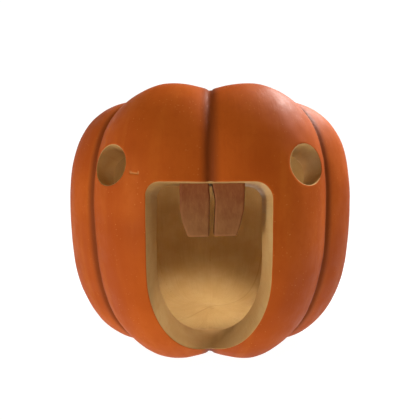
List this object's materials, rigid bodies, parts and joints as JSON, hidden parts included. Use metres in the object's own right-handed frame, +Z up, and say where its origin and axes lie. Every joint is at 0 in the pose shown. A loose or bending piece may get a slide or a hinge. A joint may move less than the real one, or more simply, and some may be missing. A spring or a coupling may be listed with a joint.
{
  "type": "carved pumpkin lantern",
  "caption": "Hollow ribbed pumpkin carved with a wide open mouth, hanging teeth and round eyes, with a short trimmed stem.",
  "frame": {"origin": "on the plane the ribs rest on, below the middle of the pumpkin", "axes": "+Z up along the pumpkin's axis, -Y out through the middle of the mouth, +X towards the right of someone facing it"},
  "size_m": [0.2894, 0.2891, 0.2647],
  "materials": {
    "pumpkin_flesh_and_skin": "waxy orange skin, pale carved flesh, dry brown stem"
  },
  "bodies": {
    "root": {"pumpkin": "pumpkin_flesh_and_skin"}
  },
  "joints": []
}
